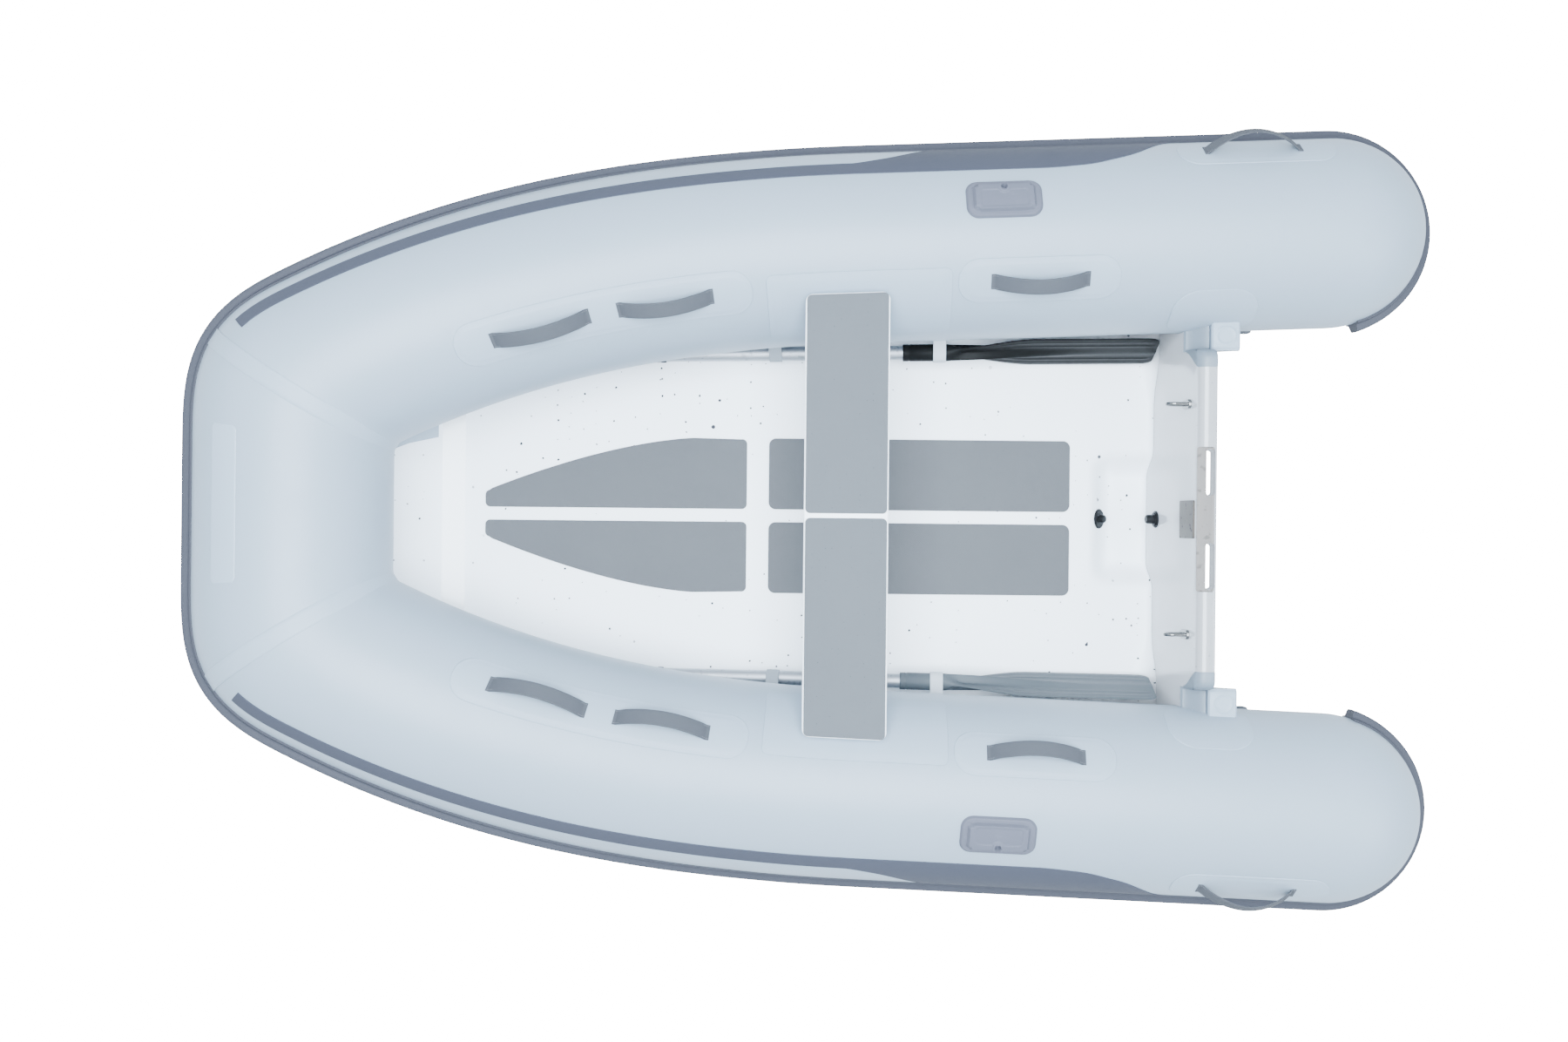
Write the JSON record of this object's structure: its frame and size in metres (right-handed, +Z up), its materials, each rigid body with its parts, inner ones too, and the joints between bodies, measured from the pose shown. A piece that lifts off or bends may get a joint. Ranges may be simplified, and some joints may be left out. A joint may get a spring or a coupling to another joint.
{
  "type": "rigid inflatable boat",
  "caption": "Small open tender with a rigid V hull and deck, inflatable tube collar, rub strake, raked transom, removable bench seat, stowed oars and grab handles.",
  "frame": {"origin": "centre of the bounding box at the ground, under the keel", "axes": "+X towards the bow, +Y to port, +Z up"},
  "size_m": [2.6803, 1.7142, 0.606],
  "materials": {
    "tube_fabric": "matte coated fabric",
    "strake_rubber": "satin",
    "stripe_fabric": "matte coated fabric",
    "webbing": "woven",
    "strap_webbing": "woven",
    "oarlock_rubber": "satin",
    "gelcoat": "glossy",
    "raw_laminate": "matte",
    "keel_rubber": "matte",
    "deck_pad_foam": "textured non-skid",
    "seat_pad_foam": "textured non-skid",
    "seat_coating": "satin powder coat",
    "transom_steel": "brushed",
    "marine_steel": "polished",
    "drain_plastic": "satin",
    "drain_rubber": "matte",
    "oar_aluminium": "anodised",
    "oar_plastic": "satin",
    "valve_plastic": "satin"
  },
  "bodies": {
    "boat": {"bow_tow_eye": "marine_steel", "bow_tube": "tube_fabric", "deck_pad_aft_port": "deck_pad_foam", "deck_pad_aft_starboard": "deck_pad_foam", "deck_pad_forward_port": "deck_pad_foam", "deck_pad_forward_starboard": "deck_pad_foam", "deck_panel": "gelcoat", "handle_aft_port": "webbing", "handle_aft_starboard": "webbing", "handle_forward_port": "webbing", "handle_forward_starboard": "webbing", "handle_middle_port": "webbing", "handle_middle_starboard": "webbing", "handle_outer_port": "webbing", "handle_outer_starboard": "webbing", "hull_frames": "raw_laminate", "hull_shell": "gelcoat", "keel_strip": "keel_rubber", "lifting_eye_port": "marine_steel", "lifting_eye_starboard": "marine_steel", "motor_pad_inner": "transom_steel", "motor_pad_outer": "transom_steel", "oar_strap_aft_port": "strap_webbing", "oar_strap_aft_starboard": "strap_webbing", "oar_strap_forward_port": "strap_webbing", "oar_strap_forward_starboard": "strap_webbing", "oarlock_base_port": "oarlock_rubber", "oarlock_base_starboard": "oarlock_rubber", "port_tube": "tube_fabric", "rub_strake": "strake_rubber", "seat_bench": "seat_coating", "seat_pad_port": "seat_pad_foam", "seat_pad_starboard": "seat_pad_foam", "seat_saddle_port": "tube_fabric", "seat_saddle_starboard": "tube_fabric", "side_stripe_port": "stripe_fabric", "side_stripe_starboard": "stripe_fabric", "starboard_tube": "tube_fabric", "transom_drain_fitting": "drain_plastic", "transom_gusset_port": "tube_fabric", "transom_gusset_starboard": "tube_fabric", "transom_panel": "gelcoat", "transom_top_plate": "transom_steel", "valve_body_bow": "valve_plastic", "valve_body_port": "valve_plastic", "valve_body_starboard": "valve_plastic"},
    "port_oar": {"oar_shaft_port": "oar_aluminium", "oar_blade_port": "oar_plastic", "oar_grip_port": "oar_plastic"},
    "starboard_oar": {"oar_shaft_starboard": "oar_aluminium", "oar_blade_starboard": "oar_plastic", "oar_grip_starboard": "oar_plastic"},
    "drain_plug": {"transom_drain_plug": "drain_plastic"},
    "drain_bung": {"hull_drain_bung": "drain_rubber"},
    "port_valve_cap": {"valve_cap_port": "valve_plastic"},
    "port_valve_stem": {"valve_stem_port": "valve_plastic"},
    "starboard_valve_cap": {"valve_cap_starboard": "valve_plastic"},
    "starboard_valve_stem": {"valve_stem_starboard": "valve_plastic"},
    "bow_valve_cap": {"valve_cap_bow": "valve_plastic"},
    "bow_valve_stem": {"valve_stem_bow": "valve_plastic"}
  },
  "joints": [
    {"name": "port_oar_roll", "type": "hinge", "parent": "boat", "child": "port_oar", "pos_m": [-0.276, 0.3748, 0.1733], "axis": [0.9983, -0.0104, -0.0576], "range_deg": [0, 55]},
    {"name": "starboard_oar_roll", "type": "hinge", "parent": "boat", "child": "starboard_oar", "pos_m": [-0.276, -0.3748, 0.1733], "axis": [-0.9983, -0.0104, 0.0576], "range_deg": [0, 55]},
    {"name": "drain_plug_slide", "type": "slide", "parent": "boat", "child": "drain_plug", "axis": [0.9935, 0, 0.1136], "range_m": [0, 0.045]},
    {"name": "drain_bung_slide", "type": "slide", "parent": "boat", "child": "drain_bung", "axis": [-0.7979, 0, 0.6028], "range_m": [0, 0.03]},
    {"name": "port_valve_cap_turn", "type": "hinge", "parent": "boat", "child": "port_valve_cap", "pos_m": [-0.95765, 0.43741, 0.20294], "axis": [-0.0371, -0.9055, -0.4226], "range_deg": [0, 90]},
    {"name": "port_valve_stem_push", "type": "slide", "parent": "boat", "child": "port_valve_stem", "axis": [0.0371, 0.9055, 0.4226], "range_m": [0, 0.005], "stiffness_N_per_m": 300, "springref_m": -0.002},
    {"name": "starboard_valve_cap_turn", "type": "hinge", "parent": "boat", "child": "starboard_valve_cap", "pos_m": [-0.95765, -0.43741, 0.20294], "axis": [-0.0371, 0.9055, -0.4226], "range_deg": [0, 90]},
    {"name": "starboard_valve_stem_push", "type": "slide", "parent": "boat", "child": "starboard_valve_stem", "axis": [0.0371, -0.9055, 0.4226], "range_m": [0, 0.005], "stiffness_N_per_m": 300, "springref_m": -0.002},
    {"name": "bow_valve_cap_turn", "type": "hinge", "parent": "boat", "child": "bow_valve_cap", "pos_m": [0.9759, 0.07, 0.25182], "axis": [-0.6947, 0, -0.7193], "range_deg": [0, 90]},
    {"name": "bow_valve_stem_push", "type": "slide", "parent": "boat", "child": "bow_valve_stem", "axis": [0.6947, 0, 0.7193], "range_m": [0, 0.005], "stiffness_N_per_m": 300, "springref_m": -0.002}
  ]
}
